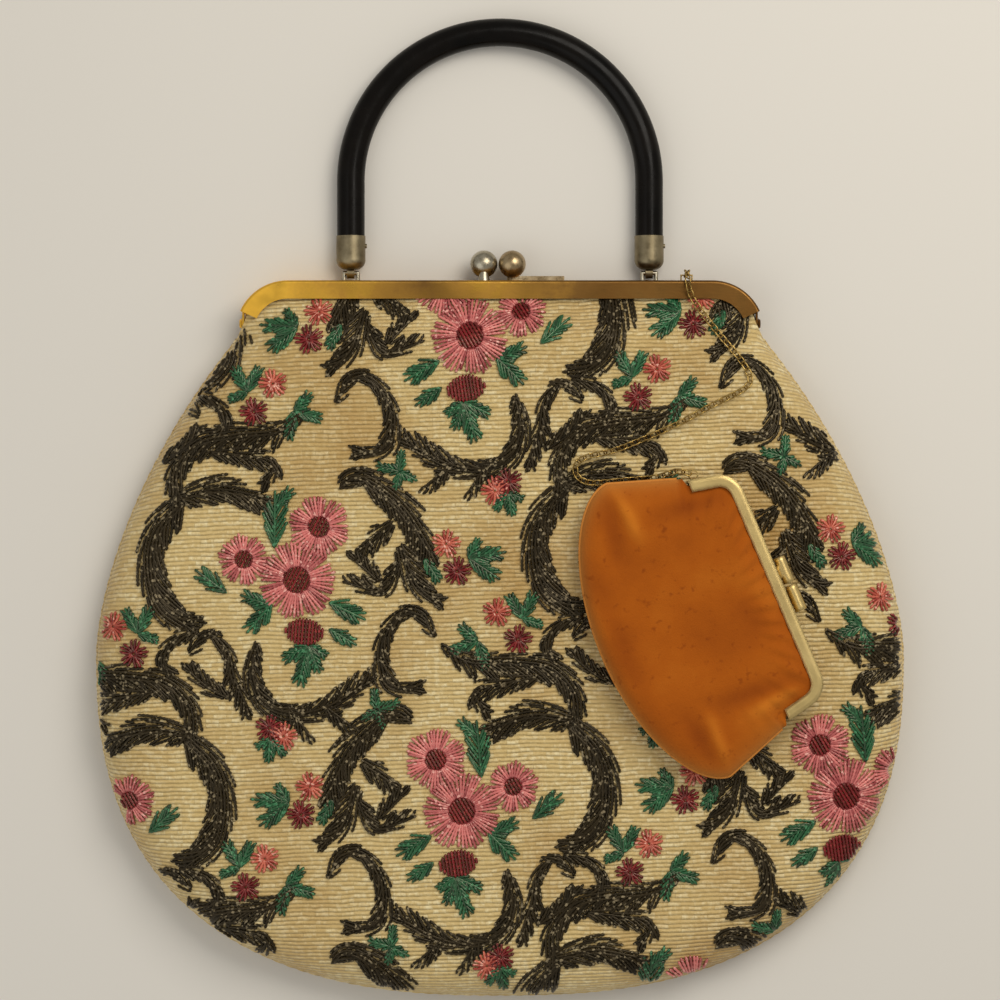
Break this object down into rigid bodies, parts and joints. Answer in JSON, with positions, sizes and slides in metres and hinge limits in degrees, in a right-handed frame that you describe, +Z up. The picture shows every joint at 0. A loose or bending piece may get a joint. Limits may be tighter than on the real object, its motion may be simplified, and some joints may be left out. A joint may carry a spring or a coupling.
{
  "type": "carpet bag",
  "caption": "Soft beaded carpet bag with a hinged metal frame, ball kiss lock, arched rigid handle and a framed coin purse on a chain, lying on its back.",
  "frame": {"origin": "middle of the bounding box on the table plane", "axes": "+Z up from the table out of the bag's front, +Y from the bottom edge towards the handle, +X to the right seen from the front"},
  "size_m": [0.324, 0.3934, 0.0446],
  "materials": {
    "ground_cloth": "ribbed beaded cream ground",
    "lining": "plain woven",
    "frame_brass": "worn gilt",
    "paper_cord": "twisted",
    "aged_nickel": "worn plating",
    "handle_black": "glossy",
    "ferrule_brass": "tarnished",
    "black_beads": "glossy beads",
    "pink_beads": "glossy beads",
    "dark_red_beads": "glossy beads",
    "coral_beads": "glossy beads",
    "green_beads": "glossy beads",
    "chain_gold": "polished",
    "suede": "soft suede",
    "purse_gold": "pale gilt"
  },
  "bodies": {
    "bag": {"back_panel": "ground_cloth", "front_panel": "ground_cloth", "back_lining": "lining", "front_lining": "lining", "back_frame": "frame_brass", "frame_rivets": "frame_brass", "back_channel_cord": "paper_cord", "right_ball": "aged_nickel", "handle_staples": "aged_nickel", "scrollwork": "black_beads", "pink_flowers": "pink_beads", "dark_red_beads": "dark_red_beads", "coral_flowers": "coral_beads", "leaf_sprigs": "green_beads", "purse_chain": "chain_gold", "purse_back_panel": "suede", "purse_front_panel": "suede", "purse_back_frame": "purse_gold", "purse_rivets": "purse_gold", "purse_back_barrel": "purse_gold"},
    "front_half": {"front_frame": "frame_brass", "front_channel_cord": "paper_cord", "left_ball": "aged_nickel", "chain_staple": "chain_gold"},
    "handle": {"handle_tube": "handle_black", "left_ferrule": "ferrule_brass", "right_ferrule": "ferrule_brass", "ferrule_pins": "ferrule_brass"},
    "purse_half": {"purse_front_frame": "purse_gold", "purse_front_barrel": "purse_gold"}
  },
  "joints": [
    {"name": "frame_open", "type": "hinge", "parent": "bag", "child": "front_half", "pos_m": [0, 0.0733, 0.01], "axis": [1, 0, 0], "range_deg": [0, 90], "deforming": ["front_panel", "front_lining", "scrollwork", "pink_flowers", "dark_red_beads", "coral_flowers", "leaf_sprigs", "purse_chain"]},
    {"name": "handle_swing", "type": "hinge", "parent": "bag", "child": "handle", "pos_m": [0, 0.0939, 0.0059], "axis": [1, 0, 0], "range_deg": [0, 60]},
    {"name": "purse_open", "type": "hinge", "parent": "bag", "child": "purse_half", "pos_m": [0.0915, -0.0385, 0.0366], "axis": [0.3907, -0.9205, 0], "range_deg": [0, 80], "deforming": ["purse_front_panel"]}
  ]
}
